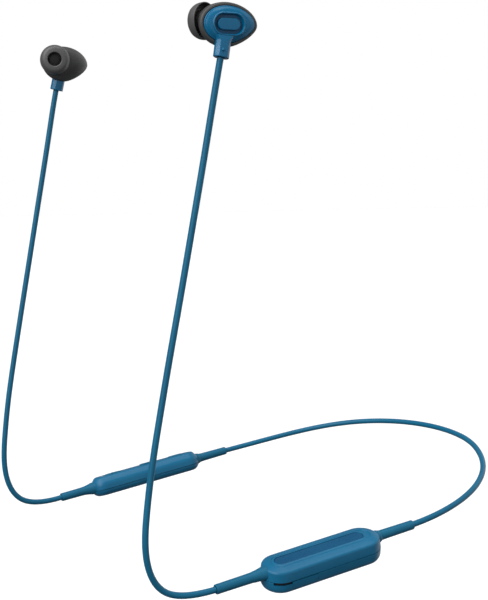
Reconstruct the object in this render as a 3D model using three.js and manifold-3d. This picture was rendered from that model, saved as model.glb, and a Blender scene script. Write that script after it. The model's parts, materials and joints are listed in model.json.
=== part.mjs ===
// Neckband earphones, worn: the cord rests on the nape, a battery box hangs on the wearer's left and a
// remote on the right, and an ear cord rises from each box to its earbud. Millimetres, +Z up, the wearer
// faces -Y, +X is the wearer's left. The origin is the middle of the cord where it rests on the nape.

import * as THREE from 'three';
import { NURBSCurve } from 'three/addons/curves/NURBSCurve.js';
import { mergeVertices } from 'three/addons/utils/BufferGeometryUtils.js';
import Module from 'manifold-3d';

const kernel = await Module();
kernel.setup();

// ---------- driving dimensions ----------

const GAP = 0.3; // between neighbouring pieces
const BEYOND = 60; // past the end of any box
const CORD = { diameter: 2.2, sides: 8, earSteps: 26, neckSteps: 28 };

// Control points of the cords' cubic curves. The ear cord is the left one; the right one mirrors it
// except at its top, where the bud hangs lower.
const EAR_CORD = [
  [70.8, -145.3, 146.2], [70.7, -146.4, 140.3], [70.7, -148.4, 129.8], [70.6, -151.3, 113.7],
  [70.4, -154.3, 98.0], [70.2, -157.3, 82.0], [69.9, -160.3, 66.2], [69.5, -163.4, 50.1],
  [69.3, -166.3, 34.4], [69.0, -169.2, 18.3], [68.7, -171.2, 2.7], [68.4, -172.6, -14.3],
  [68.1, -165.6, -29.2], [69.0, -150.8, -27.9], [69.3, -146.7, -27.3],
];
const RIGHT_EAR_CORD = [[70.8, -145.85, 143.15], [70.7, -147.0, 138.0], ...EAR_CORD.slice(2)];
const NECK_CORD = [
  [70.4, -67.2, -15.9], [70.1, -60.9, -15.0], [68.7, -49.3, -13.0], [62.7, -31.8, -8.8],
  [51.3, -17.9, -4.6], [35.4, -8.1, -1.6], [18.6, -1.3, -0.3], [0.0, 0.6, 0.2],
  [-18.6, -1.3, -0.3], [-35.4, -8.1, -1.6], [-51.3, -17.9, -4.6], [-62.7, -31.8, -8.8],
  [-68.7, -49.3, -13.0], [-70.1, -60.9, -15.0], [-70.4, -67.2, -15.9],
];

// Each box lies on the line between its two sleeve ends. In its own frame X points outward from the
// neck, Y runs back along that line and Z is the normal of the top face.
const BOX = {
  centre: [69.85, -106.95, -21.6],
  pitch: 8.16, // rises to the back, degrees
  yaw: -0.79, // turns outward to the back
  roll: 12, // top face leans outward
  sleeveEnd: 40.15, // from the centre to each sleeve's outer end
};
// Levels are [height, half width] of stadium outlines, from the underside to the top.
const BATTERY = {
  front: -22.2, rear: 24.9, parting: -1.7,
  levels: [[-6.4, 5.0], [-6.0, 6.1], [-4.8, 6.9], [-1.7, 7.1], [1.5, 6.8], [2.0, 6.3], [3.0, 2.9]],
  hollow: [[-5.4, 4.8], [-4.5, 5.7], [-1.7, 6.0], [1.3, 5.6]],
};
const REMOTE = {
  front: -25.8, rear: 25.3, parting: -1.5,
  levels: [[-4.0, 3.6], [-3.7, 4.1], [-2.7, 5.2], [-1.5, 5.6], [1.3, 5.6], [3.5, 3.9], [3.9, 3.3]],
  hollow: [[-3.1, 3.3], [-1.3, 4.6], [1.1, 4.6], [3.0, 3.0]],
};
const INLAY = { y: 0.6, halfLength: 17.7, halfWidth: 2.3, top: 2.9, thickness: 0.4, seat: 2.2 };
const NECK_STUB = { radius: 0.9, root: 1.5, reach: 1.4 };
const SLEEVE = { radius: 1.72 };
// Each sleeve's flare: [distance from the box's end, centre height, half width, half height].
const FLARES = {
  batteryFront: [[5.5, 0, 1.8, 1.8], [3.2, 0, 1.95, 1.95], [1.6, 0.05, 2.1, 2.1], [0.6, 0.1, 2.3, 2.25],
    [-0.8, 0.1, 2.6, 2.4]],
  batteryRear: [[1.8, 0, 1.85, 1.8], [0.8, -0.1, 2.1, 1.95], [0, -0.1, 2.6, 2.1], [-0.8, -0.1, 2.8, 2.15]],
  remoteFront: [[4.6, 0, 1.8, 1.8], [2.8, 0, 2.0, 2.0], [1.4, 0, 2.3, 2.25], [0.4, 0, 2.6, 2.5],
    [-0.8, -0.05, 2.9, 2.6]],
  remoteRear: [[2.4, 0, 1.85, 1.85], [1.2, 0, 2.05, 2.05], [0.4, -0.05, 2.4, 2.3], [-0.8, -0.1, 2.8, 2.5]],
};
const PORT = { y: -9.3, width: 7.5, height: 2.7, depth: 5.2, bottom: -4.9, wall: 0.4, face: 5.75 };
const TONGUE = { halfWidth: 2, short: 2, bottom: 1.6, top: 2.0 };
const DOOR = { front: -14.3, rear: -4.3, bottom: -5.2, top: -1.9, inner: 6.05, recess: 4.9 };
const DOOR_OVERLAP = 0.2; // of the plug into the door
const PLUG = { reach: 0.8, sidePlay: 0.5 };
const NOTCH = { front: -20.5, rear: -14.4, depth: 0.7, height: 0.7 };
const BUTTON = { halfWidth: 1.7, flange: 0.6, flangeThickness: 0.6, edge: 0.3, halfFoot: 0.8 };
const BUTTONS = [
  { name: 'volume_up_button', y: -15.1, halfLength: 3.6, proud: 0.35 },
  { name: 'play_button', y: 1.9, halfLength: 4.0, proud: 0.55 },
  { name: 'volume_down_button', y: 15.4, halfLength: 3.6, proud: 0.35 },
];

// Blocks inside the boxes.
const CELL = { width: 9, front: -4.5, rear: 20, bottom: -4.8, top: -2.2 };
const CHARGING_BOARD = { width: 10.4, front: -17, rear: 18, bottom: -1.7, top: -0.9 };
const CONTROL_BOARD = { width: 7.8, front: -20, rear: 20, bottom: -1.2, top: -0.4 };
const RADIO = { width: 6, front: 2, rear: 11, bottom: -2.7, top: -1.5 };
const MICROPHONE = { width: 3, front: -20.7, rear: -18.3, bottom: -2.6, top: -1.5 };
const MICROPHONE_PORT = { y: -19.5, radius: 0.5 };
const SWITCH = { width: 3, bottom: -0.1, top: 1.05, travel: 0.4 };
const LIGHT = { y: -20.4, radius: 0.6, bottom: 1.5 };

// The bud's frame sits on the widest station of the egg-shaped rim: X outward, Y back, Z up.
const BUD = { centre: [69.3, -142.6, 156.85], yaw: -4, rightDrop: [0, -0.55, -3.05] };
const EGG = { front: 9.2, rear: 11.0, half: 7.1 };
const RING = { halfLength: 5.45, halfWidth: 3.5, y: 0.3, lip: 2.6, floor: 1.3, lipWidth: 0.4 };
const PLATE = { halfLength: 3.85, halfWidth: 1.85, top: 2.35, edge: 0.2 };
const NOZZLE = {
  origin: [0, -3.6, 1.25], yaw: 116.3, base: 3.3, baseRadius: 3.4, radius: 2.1, bore: 1.6,
  lip: 2.4, lipAt: 5.9, end: 6.5,
};
const GRILLE = { radius: 1.3, back: 5.5, front: 5.8 };
// The cover rises from its shoulder to the ring's foot; slope is [share of the way in, height].
const COVER = { inset: 1.2, edge: 0.9, shoulder: 1.35, shoulderInset: 1.7, slope: [[0.5, 2.0], [0.9, 2.25]] };
const SHELL = { wall: 1.1, rimInset: 0.9, wallInset: 1.4 };
// Silicone tip: [radius, distance along the nozzle] round the dome and back inside it.
const TIP = {
  bore: 2.7, core: 3.5, back: 3.8, front: 7.6,
  dome: [[3.1, 7.9], [3.9, 7.85], [4.8, 7.4], [5.45, 6.65], [5.85, 5.7], [6.05, 4.7], [6.05, 3.8]],
  lining: [[5.6, 3.8], [5.45, 4.9], [5.0, 5.9], [4.3, 6.4], [3.5, 6.4]],
};
const DRIVER = { y: 1.7, radius: 3.4, back: -0.6, depth: 2.1, wall: 0.5, floor: 0.4 };
const MAGNET = { radius: 2.2, bottom: 0.7, top: 1.5 };
const FILM = { edge: 1.8, thickness: 0.15, crown: 2.0, surround: 1.9, dish: 1.4 };
const STEM = {
  end: [1.69, -2.42, -10.6], top: [0.94, -1.05, -3.3], halfWidth: 2.5, halfDepth: 1.8, bevel: 1.1,
  flareFrom: 0.7, flare: 0.8,
};
const BUSH = { radius: 1.15, bore: 0.4, length: 2.2 };
const DOT = { radius: 0.5, centre: [3.35, -2.4, -8.2] };

// ---------- materials ----------

const finish = (color, roughness, metalness = 0) =>
  new THREE.MeshStandardMaterial({ color, roughness, metalness });

const cordBlue = finish(0x1f5f88, 0.55);
const sleeveBlue = finish(0x22648c, 0.5);
const shellBlue = finish(0x2a6f9e, 0.4);
const coverBlue = finish(0x1d6799, 0.35);
const inlayBlue = finish(0x1b4f7a, 0.3);
const darkGrey = finish(0x3a3a3c, 0.55);
const silicone = finish(0x454547, 0.6);
const boardGreen = finish(0x1f5a3a, 0.5);
const steel = finish(0xb8bcc0, 0.3, 1);
const cellSilver = finish(0xa7abb0, 0.35, 0.8);
const chipBlack = finish(0x151515, 0.5);
const meshMetal = finish(0x77797c, 0.35, 1);
const lens = finish(0xe8edf0, 0.2);

// ---------- solids ----------

// A closed solid through matching rings of points, with a fan over each end.
function loft(rings) {
  const count = rings[0].length;
  const points = rings.flat();
  const index = [];
  for (let i = 0; i + 1 < rings.length; i++) {
    for (let j = 0; j < count; j++) {
      const a = i * count + j;
      const b = i * count + ((j + 1) % count);
      index.push(a, b, b + count, a, b + count, a + count);
    }
  }
  for (const [ring, first, flip] of [
    [rings[0], 0, true],
    [rings.at(-1), points.length - count, false],
  ]) {
    const hub = points.length;
    points.push(ring.reduce((sum, p) => sum.add(p), new THREE.Vector3()).divideScalar(count));
    for (let j = 0; j < count; j++) {
      const a = first + j;
      const b = first + ((j + 1) % count);
      index.push(...(flip ? [b, a, hub] : [a, b, hub]));
    }
  }
  const geometry = new THREE.BufferGeometry().setFromPoints(points);
  geometry.setIndex(index);
  return facingOut(geometry);
}

// Turns the triangles over when they face in, as they do after a mirroring.
function facingOut(geometry) {
  const p = geometry.attributes.position;
  const [a, b, c] = [new THREE.Vector3(), new THREE.Vector3(), new THREE.Vector3()];
  let volume = 0;
  for (let i = 0; i < geometry.index.count; i += 3) {
    a.fromBufferAttribute(p, geometry.index.getX(i));
    b.fromBufferAttribute(p, geometry.index.getX(i + 1));
    c.fromBufferAttribute(p, geometry.index.getX(i + 2));
    volume += a.dot(b.cross(c));
  }
  if (volume < 0) geometry.setIndex([...geometry.index.array].reverse());
  return geometry;
}

function welded(geometry) {
  const bare = geometry.clone();
  bare.deleteAttribute('normal');
  bare.deleteAttribute('uv');
  return mergeVertices(bare, 1e-4);
}

function solid(geometry) {
  const clean = welded(geometry);
  return new kernel.Manifold(new kernel.Mesh({
    numProp: 3,
    vertProperties: new Float32Array(clean.attributes.position.array),
    triVerts: new Uint32Array(clean.index.array),
  }));
}

function geometryOf(body) {
  const { vertProperties, triVerts } = body.getMesh();
  const geometry = new THREE.BufferGeometry();
  geometry.setAttribute('position', new THREE.BufferAttribute(vertProperties, 3));
  geometry.setIndex([...triVerts]);
  return geometry;
}

function block(x0, x1, y0, y1, z0, z1) {
  const geometry = new THREE.BoxGeometry(x1 - x0, y1 - y0, z1 - z0);
  return geometry.translate((x0 + x1) / 2, (y0 + y1) / 2, (z0 + z1) / 2);
}

// A block centred across its box.
function slab({ width, front, rear, bottom, top }) {
  return block(-width / 2, width / 2, front, rear, bottom, top);
}

// A cylinder along the frame's Y axis.
function rod(radius, y0, y1, x, z, sides = 24) {
  const geometry = new THREE.CylinderGeometry(radius, radius, y1 - y0, sides);
  return geometry.translate(x, (y0 + y1) / 2, z);
}

// An upright cylinder on the frame's middle line.
function pillar(radius, z0, z1, y) {
  return rod(radius, z0, z1, 0, 0, 16).rotateX(Math.PI / 2).translate(0, y, 0);
}

// A solid of revolution about +Y from a closed profile of [radius, height] points.
function turned(profile, sides = 20) {
  const closed = [...profile, profile[0]].map(([r, y]) => new THREE.Vector2(r, y));
  return facingOut(welded(new THREE.LatheGeometry(closed, sides)));
}

const radians = THREE.MathUtils.degToRad;

function arc(count, from, to) {
  return Array.from({ length: count + 1 }, (_, i) => from + ((to - from) * i) / count);
}

// ---------- outlines ----------

// A stadium outline in a horizontal plane, long along Y.
function stadium(halfLength, halfWidth, y, z, segments = 10) {
  const straight = halfLength - halfWidth;
  return [[1, 0, Math.PI], [-1, Math.PI, 2 * Math.PI]].flatMap(([end, from, to]) =>
    arc(segments, from, to).map((angle) => new THREE.Vector3(
      halfWidth * Math.cos(angle),
      y + end * straight + halfWidth * Math.sin(angle),
      z,
    )));
}

function eggCurve(inset) {
  const round = 0.5523;
  const front = EGG.front - inset;
  const rear = EGG.rear - inset;
  const half = EGG.half - inset;
  const shape = new THREE.Shape();
  shape.moveTo(-front, 0);
  shape.bezierCurveTo(-front, -round * half, -round * front, -half, 0, -half);
  shape.bezierCurveTo(0.35 * rear, -half, rear, -0.4 * half, rear, 0);
  shape.bezierCurveTo(rear, 0.5 * half, round * rear, half, 0, half);
  shape.bezierCurveTo(-round * front, half, -front, round * half, -front, 0);
  return shape.getPoints(6).slice(0, -1);
}

// The bud's egg outline at a distance outward from the rim.
function egg(inset, x) {
  return eggCurve(inset).map((p) => new THREE.Vector3(x, p.x, p.y));
}

// A racetrack at a distance outward from the rim, with a point for each point of the egg.
function racetrack(halfLength, halfWidth, x) {
  const straight = halfLength - halfWidth;
  return eggCurve(0).map((p) => {
    const angle = Math.atan2(p.y, p.x);
    const c = Math.cos(angle);
    const s = Math.sin(angle);
    let reach = halfWidth / Math.max(Math.abs(s), 1e-6);
    if (reach * Math.abs(c) > straight) {
      reach = straight * Math.abs(c) + Math.sqrt(halfWidth ** 2 - (straight * s) ** 2);
    }
    return new THREE.Vector3(x, RING.y + reach * c, reach * s);
  });
}

function ellipse(y, z, halfWide, halfHigh, sides = 24) {
  return Array.from({ length: sides }, (_, i) => {
    const angle = (2 * Math.PI * i) / sides;
    return new THREE.Vector3(halfWide * Math.cos(angle), y, z + halfHigh * Math.sin(angle));
  });
}

// ---------- boxes ----------

const widestOf = (box) => Math.max(...box.levels.map(([, halfWidth]) => halfWidth));

// The outer form or the hollow of a box: stadium outlines stacked level by level.
function boxForm(box, levels, grow = 0) {
  const centre = (box.front + box.rear) / 2;
  const halfLength = (box.rear - box.front) / 2;
  const widest = widestOf(box);
  return solid(loft(levels.map(([z, halfWidth], i) => {
    const lift = i === 0 ? -grow : i === levels.length - 1 ? grow : 0;
    const short = widest - halfWidth - grow;
    return stadium(halfLength - short, halfWidth + grow, centre, z + lift);
  })));
}

// The two halves of a box, hollow and open at the end walls for the sleeves' stubs.
function halves(box) {
  const shell = boxForm(box, box.levels).subtract(boxForm(box, box.hollow));
  const hole = solid(rod(NECK_STUB.radius + GAP, -BEYOND, BEYOND, 0, 0, 20));
  const open = shell.subtract(hole);
  const above = solid(block(-BEYOND, BEYOND, -BEYOND, BEYOND, box.parting + GAP / 2, BEYOND));
  const below = solid(block(-BEYOND, BEYOND, -BEYOND, BEYOND, -BEYOND, box.parting - GAP / 2));
  return { upper: open.intersect(above), lower: open.intersect(below) };
}

// A strain relief moulded on the cord: a blunt tube that flares into the end of its box.
function sleeve(box, end, flare) {
  const at = end < 0 ? box.front : box.rear;
  const outer = end * BOX.sleeveEnd;
  const rings = [
    ellipse(outer, 0, SLEEVE.radius, SLEEVE.radius),
    ...flare.map(([distance, z, wide, high]) => ellipse(at + end * distance, z, wide, high)),
  ];
  const stub = [at + end * NECK_STUB.root, at - end * NECK_STUB.reach].sort((a, b) => a - b);
  const clearance = boxForm(box, box.levels, GAP);
  return geometryOf(solid(loft(rings))
    .subtract(clearance)
    .subtract(clearance.translate(0, 0, GAP))
    .subtract(clearance.translate(0, 0, -GAP))
    .add(solid(rod(NECK_STUB.radius, ...stub, 0, 0, 16))));
}

function boxFrame() {
  const group = new THREE.Group();
  group.position.set(...BOX.centre);
  group.rotation.set(radians(BOX.pitch), radians(BOX.roll), radians(BOX.yaw), 'ZXY');
  return group;
}

// The door covers the port from the underside of the parting line down; its plug enters the port.
function doorWindow() {
  return solid(block(DOOR.recess, BEYOND, DOOR.front - GAP, DOOR.rear + GAP, DOOR.bottom - GAP, 0));
}

function usbCover() {
  const skin = boxForm(BATTERY, BATTERY.levels)
    .intersect(solid(block(DOOR.inner, BEYOND, DOOR.front, DOOR.rear, DOOR.bottom, DOOR.top)));
  const { y, width, height, bottom, wall } = PORT;
  const halfPlug = width / 2 - wall - PLUG.sidePlay;
  const plug = solid(block(PORT.face - PLUG.reach, DOOR.inner + DOOR_OVERLAP, y - halfPlug, y + halfPlug,
    bottom + wall + GAP, bottom + height - wall - GAP));
  return geometryOf(skin.add(plug));
}

function usbReceptacle() {
  const { y, width, height, depth, bottom, wall, face } = PORT;
  const back = face - depth;
  const shell = solid(block(back, face, y - width / 2, y + width / 2, bottom, bottom + height));
  const mouth = solid(block(back + 1, face + 1, y - width / 2 + wall, y + width / 2 - wall,
    bottom + wall, bottom + height - wall));
  const tongue = solid(block(back, face - TONGUE.short, y - TONGUE.halfWidth, y + TONGUE.halfWidth,
    bottom + TONGUE.bottom, bottom + TONGUE.top));
  return geometryOf(shell.subtract(mouth).add(tongue));
}

function batteryPieces() {
  const { upper, lower } = halves(BATTERY);
  const { y, halfLength, halfWidth, top, thickness, seat } = INLAY;
  const track = (grow, z) => stadium(halfLength + grow, halfWidth + grow, y, z);
  const pocket = solid(loft([track(GAP, seat), track(GAP, BEYOND)]));
  const nail = solid(block(0, BEYOND, NOTCH.front, NOTCH.rear,
    BATTERY.parting - NOTCH.height, BATTERY.parting)).subtract(
    boxForm(BATTERY, BATTERY.levels, -NOTCH.depth));
  return {
    battery_top_shell: [upper.subtract(pocket), shellBlue],
    battery_bottom_shell: [lower.subtract(doorWindow()).subtract(nail), shellBlue],
    battery_inlay: [loft([track(0, top - thickness), track(0, top)]), inlayBlue],
    battery_cell: [slab(CELL), cellSilver],
    charging_board: [slab(CHARGING_BOARD), boardGreen],
    usb_receptacle: [usbReceptacle(), steel],
    usb_cover: [usbCover(), sleeveBlue],
    battery_front_sleeve: [sleeve(BATTERY, -1, FLARES.batteryFront), sleeveBlue],
    battery_rear_sleeve: [sleeve(BATTERY, 1, FLARES.batteryRear), sleeveBlue],
  };
}

// A button with a flange under the top wall and a foot over its switch.
function button({ y, halfLength, proud }) {
  const { halfWidth, flange, flangeThickness, edge, halfFoot } = BUTTON;
  const top = REMOTE.levels.at(-1)[0] + proud;
  const flangeTop = REMOTE.hollow.at(-1)[0] - GAP;
  const flangeBottom = flangeTop - flangeThickness;
  const outline = (grow, z) => stadium(halfLength + grow, halfWidth + grow, y, z, 8);
  const cap = loft([outline(0, flangeBottom), outline(0, top - edge), outline(-edge, top)]);
  const collar = loft([outline(flange, flangeBottom), outline(flange, flangeTop)]);
  const foot = block(-halfFoot, halfFoot, y - halfFoot, y + halfFoot, SWITCH.top + SWITCH.travel, flangeTop);
  return geometryOf(solid(cap).add(solid(collar)).add(solid(foot)));
}

function remotePieces() {
  const { upper, lower } = halves(REMOTE);
  let cover = upper.subtract(solid(pillar(LIGHT.radius + GAP, LIGHT.bottom, BEYOND, LIGHT.y)));
  for (const { y, halfLength } of BUTTONS) {
    cover = cover.subtract(solid(loft([LIGHT.bottom, BEYOND].map((z) =>
      stadium(halfLength + GAP, BUTTON.halfWidth + GAP, y, z, 8)))));
  }
  const port = solid(pillar(MICROPHONE_PORT.radius, -BEYOND, MICROPHONE.bottom, MICROPHONE_PORT.y));
  const pieces = {
    remote_top_shell: [cover, shellBlue],
    remote_bottom_shell: [lower.subtract(port), shellBlue],
    control_board: [slab(CONTROL_BOARD), boardGreen],
    bluetooth_module: [slab(RADIO), chipBlack],
    microphone: [slab(MICROPHONE), steel],
    status_light: [pillar(LIGHT.radius, LIGHT.bottom, REMOTE.levels.at(-1)[0], LIGHT.y), lens],
    remote_front_sleeve: [sleeve(REMOTE, -1, FLARES.remoteFront), sleeveBlue],
    remote_rear_sleeve: [sleeve(REMOTE, 1, FLARES.remoteRear), sleeveBlue],
  };
  for (const key of BUTTONS) {
    pieces[key.name] = [button(key), inlayBlue];
    const half = SWITCH.width / 2;
    pieces[key.name.replace('button', 'switch')] = [
      slab({ ...SWITCH, front: key.y - half, rear: key.y + half }), chipBlack];
  }
  return pieces;
}

// ---------- earbuds ----------

const nozzleOrigin = new THREE.Vector3(...NOZZLE.origin);
const inward = new THREE.Vector3(0, 1, 0).applyAxisAngle(new THREE.Vector3(0, 0, 1), radians(NOZZLE.yaw));
const across = new THREE.Vector3(0, 0, 1).cross(inward).negate();

function onNozzle(geometry) {
  return geometry.rotateZ(radians(NOZZLE.yaw)).translate(...NOZZLE.origin);
}

// The inner half of the housing: from the rim it curves over to a round face square to the nozzle.
function dome(rim, depth, radius) {
  return [0, 22.5, 45, 67.5, 90].map((degrees) => rim.map((point) => {
    const offset = point.clone().sub(nozzleOrigin);
    const angle = Math.atan2(offset.z, offset.dot(across));
    const target = nozzleOrigin.clone().addScaledVector(inward, depth)
      .addScaledVector(across, radius * Math.cos(angle));
    target.z += radius * Math.sin(angle);
    const reach = target.sub(point);
    const axial = reach.dot(inward);
    const radial = reach.clone().addScaledVector(inward, -axial);
    return point.clone()
      .addScaledVector(inward, axial * Math.sin(radians(degrees)))
      .addScaledVector(radial, 1 - Math.cos(radians(degrees)));
  }));
}

const stemEnd = new THREE.Vector3(...STEM.end);
const stemAxis = new THREE.Vector3(...STEM.top).sub(stemEnd).normalize();

// Moves a shape made along +Y from the origin onto the stem's end, pointing up its axis.
function alongStem(geometry) {
  const lean = new THREE.Quaternion().setFromUnitVectors(new THREE.Vector3(0, 1, 0), stemAxis);
  return geometry.applyQuaternion(lean).translate(...STEM.end);
}

// The stem's section is a rectangle with cut corners, square to its axis.
function stemRing(centre, flare, grow) {
  const w = STEM.halfWidth + flare + grow;
  const d = STEM.halfDepth - flare / 4 + grow;
  const { bevel } = STEM;
  const corners = [[d, w - bevel], [d - bevel, w], [bevel - d, w], [-d, w - bevel],
    [-d, bevel - w], [bevel - d, -w], [d - bevel, -w], [d, bevel - w]];
  return corners.map(([x, y]) => new THREE.Vector3(
    centre.x + x, centre.y + y, centre.z - (stemAxis.x * x + stemAxis.y * y) / stemAxis.z));
}

function stem(grow = 0) {
  const top = new THREE.Vector3(...STEM.top);
  const low = stemEnd.clone().addScaledVector(stemAxis, -grow);
  return solid(loft([
    stemRing(low, 0, grow),
    stemRing(stemEnd.clone().lerp(top, STEM.flareFrom), 0, grow),
    stemRing(top, STEM.flare, grow),
  ]));
}

function backCover(tactileDot) {
  const { inset, edge, shoulder, shoulderInset, slope } = COVER;
  const { halfLength, halfWidth, lip, lipWidth, floor } = RING;
  const shoulderLine = egg(shoulderInset, shoulder);
  const lipLine = racetrack(halfLength, halfWidth, lip);
  const rise = slope.map(([share, x]) =>
    shoulderLine.map((p, i) => p.clone().lerp(lipLine[i], share).setX(x)));
  const cap = solid(loft([egg(inset, 0), egg(inset, edge), shoulderLine, ...rise, lipLine]));
  const pocket = solid(loft([floor, BEYOND].map((x) =>
    racetrack(halfLength - lipWidth, halfWidth - lipWidth, x))));
  const hole = solid(alongStem(rod(BUSH.radius + GAP, -BEYOND, BUSH.length + GAP, 0, 0, 16)));
  let cover = cap.add(stem()).subtract(pocket).subtract(hole);
  if (tactileDot) {
    const dot = new THREE.SphereGeometry(DOT.radius, 12, 8).translate(...DOT.centre);
    cover = cover.add(solid(dot));
  }
  return cover;
}

function housing() {
  const { radius, bore, lip, lipAt, end, base, baseRadius } = NOZZLE;
  const { wall, rimInset, wallInset } = SHELL;
  const outer = loft([egg(1.0, 1.0), egg(0.5, 0.75), ...dome(egg(0, 0), base, baseRadius)]);
  const hollow = loft([egg(rimInset, 3), egg(rimInset, -GAP),
    ...dome(egg(wallInset, -GAP), base - wall + GAP, baseRadius - wall)]);
  const tube = onNozzle(turned([[0, base - wall], [radius, base - wall], [radius, lipAt], [lip, lipAt],
    [lip, lipAt + GAP], [radius, end], [0, end]]));
  const channel = onNozzle(turned([[0, 0], [bore, 0], [bore, end + GAP], [0, end + GAP]]));
  return solid(outer).add(solid(tube)).subtract(solid(hollow)).subtract(solid(channel))
    .subtract(stem(GAP));
}

// A silicone dome round a core tube, open at the back between the two.
function earTip() {
  const { bore, core, back, front, dome: outside, lining } = TIP;
  return onNozzle(turned([[bore, back], [bore, front], ...outside, ...lining, [core, back]], 24));
}

// The driver stands square to the rim: a cup open towards the ear.
function driverPieces() {
  const { y, radius, back, depth, wall, floor } = DRIVER;
  const inEar = (geometry) => geometry.rotateZ(Math.PI / 2).translate(back, y, 0);
  const cup = inEar(turned([[0, 0], [radius, 0], [radius, depth], [radius - wall, depth],
    [radius - wall, floor], [0, floor]]));
  const magnet = inEar(turned([[0, MAGNET.bottom], [MAGNET.radius, MAGNET.bottom],
    [MAGNET.radius, MAGNET.top], [0, MAGNET.top]]));
  const { edge, thickness, crown, surround, dish } = FILM;
  const under = [[0, crown], [dish, (crown + edge) / 2], [surround, edge], [radius - wall - GAP, edge]];
  const over = under.map(([r, h]) => [r, h + thickness]).reverse();
  const film = inEar(turned([...under, ...over]));
  return { driver_frame: [cup, steel], driver_magnet: [magnet, chipBlack], diaphragm: [film, lens] };
}

function budPieces(tactileDot) {
  const { halfLength, halfWidth, top, edge } = PLATE;
  const plate = loft([
    racetrack(halfLength, halfWidth, RING.floor + GAP),
    racetrack(halfLength, halfWidth, top - edge),
    racetrack(halfLength - edge, halfWidth - edge, top),
  ]);
  const grille = onNozzle(turned([[0, GRILLE.back], [GRILLE.radius, GRILLE.back],
    [GRILLE.radius, GRILLE.front], [0, GRILLE.front]]));
  const bush = alongStem(turned([[BUSH.bore, 0], [BUSH.radius, 0], [BUSH.radius, BUSH.length],
    [BUSH.bore, BUSH.length]], 16));
  return {
    back_cover: [backCover(tactileDot), coverBlue],
    accent_plate: [plate, inlayBlue],
    housing: [housing(), darkGrey],
    nozzle_grille: [grille, meshMetal],
    ear_tip: [earTip(), silicone],
    cord_bush: [bush, chipBlack],
    ...driverPieces(),
  };
}

function budFrame(drop = [0, 0, 0]) {
  const group = new THREE.Group();
  group.position.set(...BUD.centre).add(new THREE.Vector3(...drop));
  group.rotation.z = radians(BUD.yaw);
  return group;
}

// ---------- cords ----------

// A clamped uniform cubic B-spline through the route's control points.
function route(points) {
  const degree = 3;
  const inner = points.length - degree;
  const knots = [0, 0, 0, ...arc(inner, 0, inner), inner, inner, inner];
  return new NURBSCurve(degree, knots, points.map(({ x, y, z }) => new THREE.Vector4(x, y, z, 1)));
}

// The tube stops the gap short of the gland at each end of its route.
function cord(points, steps) {
  const section = new THREE.Shape(arc(CORD.sides, 0, 2 * Math.PI).slice(0, -1).map((angle) =>
    new THREE.Vector2(Math.cos(angle), Math.sin(angle)).multiplyScalar(CORD.diameter / 2)));
  const path = points.map((point) => new THREE.Vector3(...point));
  path[0].add(path[1].clone().sub(path[0]).setLength(GAP));
  path.at(-1).add(path.at(-2).clone().sub(path.at(-1)).setLength(GAP));
  return new THREE.ExtrudeGeometry(section, { steps, extrudePath: route(path), bevelEnabled: false });
}

// ---------- assembly ----------

function place(group, pieces, prefix = '') {
  for (const [name, [shape, material]] of Object.entries(pieces)) {
    const geometry = shape.isBufferGeometry ? shape : geometryOf(shape);
    const mesh = new THREE.Mesh(geometry, material);
    mesh.name = prefix + name;
    group.add(mesh);
  }
  return group;
}

const earCord = (points) => ({ ear_cord: [cord(points, CORD.earSteps), cordBlue] });

const leftSide = new THREE.Group();
leftSide.add(place(boxFrame(), batteryPieces()));
leftSide.add(place(budFrame(), budPieces(true), 'left_'));
place(leftSide, earCord(EAR_CORD), 'left_');

// The right side mirrors the left, with the remote in place of the battery box and a lower bud.
const rightSide = new THREE.Group();
rightSide.scale.x = -1;
rightSide.add(place(boxFrame(), remotePieces()));
rightSide.add(place(budFrame(BUD.rightDrop), budPieces(false), 'right_'));
place(rightSide, earCord(RIGHT_EAR_CORD), 'right_');

const neckband = new THREE.Group();
neckband.add(leftSide, rightSide);
place(neckband, { neck_cord: [cord(NECK_CORD, CORD.neckSteps), cordBlue] });

export default neckband;
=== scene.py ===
"""Looks of the neckband earphones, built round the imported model. Pieces are shaped in millimetres in the
frame of the box or bud they belong to, and placed in the row frame in metres."""

import json
import math

import bmesh
import bpy
import numpy as np
from mathutils import Matrix, Vector
from mathutils.geometry import tessellate_polygon


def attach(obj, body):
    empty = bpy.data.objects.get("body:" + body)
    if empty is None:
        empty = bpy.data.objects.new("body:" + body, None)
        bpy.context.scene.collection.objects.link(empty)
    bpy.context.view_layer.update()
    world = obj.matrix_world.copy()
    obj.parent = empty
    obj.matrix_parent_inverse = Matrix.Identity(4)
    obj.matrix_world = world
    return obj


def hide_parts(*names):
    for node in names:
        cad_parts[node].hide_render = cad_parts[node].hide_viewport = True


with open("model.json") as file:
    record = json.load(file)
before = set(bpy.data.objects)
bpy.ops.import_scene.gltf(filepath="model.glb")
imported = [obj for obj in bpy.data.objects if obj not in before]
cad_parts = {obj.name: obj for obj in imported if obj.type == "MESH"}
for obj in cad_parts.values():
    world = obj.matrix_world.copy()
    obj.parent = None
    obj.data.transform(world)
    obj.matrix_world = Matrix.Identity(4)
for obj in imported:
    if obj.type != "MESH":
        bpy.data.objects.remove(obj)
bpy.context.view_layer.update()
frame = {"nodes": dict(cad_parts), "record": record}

MM = 0.001
GAP = 0.3  # between neighbouring pieces

# ---------- the cords' control points, in metres in the row frame ----------

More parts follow.
